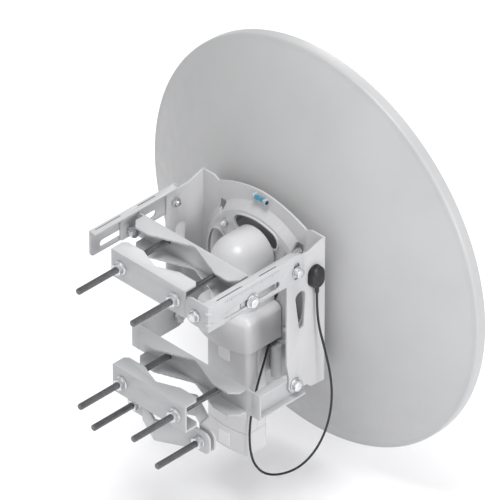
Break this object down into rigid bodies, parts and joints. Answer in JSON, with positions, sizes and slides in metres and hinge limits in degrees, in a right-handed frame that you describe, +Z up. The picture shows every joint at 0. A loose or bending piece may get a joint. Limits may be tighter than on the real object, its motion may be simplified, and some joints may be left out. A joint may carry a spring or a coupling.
{
  "type": "outdoor wireless bridge",
  "caption": "Dish antenna with a clip-in radio, tilting on slotted arms and held to a pole by V-jaw clamps, with a positioning puck on a black lead.",
  "frame": {"origin": "on the pole's axis at the height of the dish's centre line", "axes": "+Z up along the pole, the dish looks along -Y, +X to the dish's left"},
  "size_m": [0.65, 0.5538, 0.65],
  "materials": {
    "reflector_paint": "satin powder coat",
    "frame_paint": "satin powder coat",
    "bracket_paint": "satin powder coat over galvanised steel",
    "zinc": "zinc plated",
    "rod_steel": "plain zinc, darker in the thread",
    "cast_metal": "machined",
    "shell_plastic": "moulded white",
    "frame_plastic": "moulded light grey",
    "black_plastic": "fine textured",
    "black_jacket": "smooth jacket",
    "brass_parts": "gold flashed",
    "dark_metal": "tinned shield",
    "board": "solder mask",
    "vial": "clear blue"
  },
  "bodies": {
    "support": {"support_clamp_rear": "bracket_paint", "support_rods": "rod_steel"},
    "support_jaw": {"support_clamp_front": "bracket_paint", "support_nuts": "zinc"},
    "mast_mount": {"lower_bracket": "bracket_paint", "cross_channel": "bracket_paint", "clamp_rods_upper": "rod_steel", "clamp_rods_lower": "rod_steel", "arm_bolts": "zinc", "pivot_bolts": "zinc", "elevation_nut": "zinc"},
    "upper_jaw": {"clamp_jaw_upper": "bracket_paint", "clamp_nuts_upper": "zinc"},
    "lower_jaw": {"clamp_jaw_lower": "bracket_paint", "clamp_nuts_lower": "zinc"},
    "arm_left": {"elevation_arm_left": "bracket_paint"},
    "arm_right": {"elevation_arm_right": "bracket_paint"},
    "elevation_screw": {"elevation_screw": "zinc"},
    "pin_left": {"pin_bolt_left": "zinc", "pin_lock_washer_left": "zinc", "pin_flat_washer_left": "zinc"},
    "pin_right": {"pin_bolt_right": "zinc", "pin_lock_washer_right": "zinc", "pin_flat_washer_right": "zinc"},
    "port_cover": {"port_cover": "shell_plastic"},
    "dish": {"reflector": "reflector_paint", "back_frame": "frame_paint", "frame_spacers": "zinc", "frame_bolts": "zinc", "level_clips": "frame_plastic", "level_vial": "vial", "feed_tube": "shell_plastic", "feed_housing": "cast_metal", "sub_reflector": "cast_metal", "feed_cap": "shell_plastic", "radio_shell_front": "shell_plastic", "radio_shell_back": "shell_plastic", "circuit_board": "board", "ethernet_jack": "dark_metal", "rf_connectors": "brass_parts", "coax_jumpers": "black_jacket", "radio_mount": "frame_plastic", "shroud": "shell_plastic", "pin_nuts": "zinc", "gps_base": "black_plastic", "gps_cover": "black_plastic", "gps_strain_relief": "black_plastic", "gps_lead": "black_jacket", "gps_plug": "brass_parts"}
  },
  "joints": [
    {"name": "support_clamp_slide", "type": "slide", "parent": "support", "child": "support_jaw", "axis": [0, 1, 0], "range_m": [-0.0055, 0.03]},
    {"name": "azimuth", "type": "hinge", "parent": "support", "child": "mast_mount", "pos_m": [0, 0, 0], "axis": [0, 0, 1], "range_deg": [-60, 60]},
    {"name": "upper_clamp_slide", "type": "slide", "parent": "mast_mount", "child": "upper_jaw", "axis": [0, 1, 0], "range_m": [-0.036, 0.03]},
    {"name": "lower_clamp_slide", "type": "slide", "parent": "mast_mount", "child": "lower_jaw", "axis": [0, 1, 0], "range_m": [-0.036, 0.03]},
    {"name": "elevation", "type": "hinge", "parent": "mast_mount", "child": "dish", "pos_m": [0, -0.118, -0.106], "axis": [-1, 0, 0], "range_deg": [-14, 14]},
    {"name": "arm_left_slide", "type": "slide", "parent": "mast_mount", "child": "arm_left", "axis": [0, 1, 0], "range_m": [-0.0485, 0.0485]},
    {"name": "arm_right_slide", "type": "slide", "parent": "mast_mount", "child": "arm_right", "axis": [0, 1, 0], "range_m": [-0.0485, 0.0485]},
    {"name": "elevation_screw_turn", "type": "hinge", "parent": "arm_right", "child": "elevation_screw", "pos_m": [-0.1, 0, 0.092], "axis": [0, 1, 0], "continuous": true},
    {"name": "pin_left_pull", "type": "slide", "parent": "dish", "child": "pin_left", "axis": [1, 0, 0], "range_m": [0, 0.12]},
    {"name": "pin_right_pull", "type": "slide", "parent": "dish", "child": "pin_right", "axis": [-1, 0, 0], "range_m": [0, 0.12]},
    {"name": "port_cover_slide", "type": "slide", "parent": "dish", "child": "port_cover", "axis": [0, 0, -1], "range_m": [0, 0.045]}
  ],
  "couplings": [
    {"joint": "arm_left_slide", "follows": "elevation", "m_per_rad": 0.196},
    {"joint": "arm_right_slide", "follows": "elevation", "m_per_rad": 0.196}
  ]
}
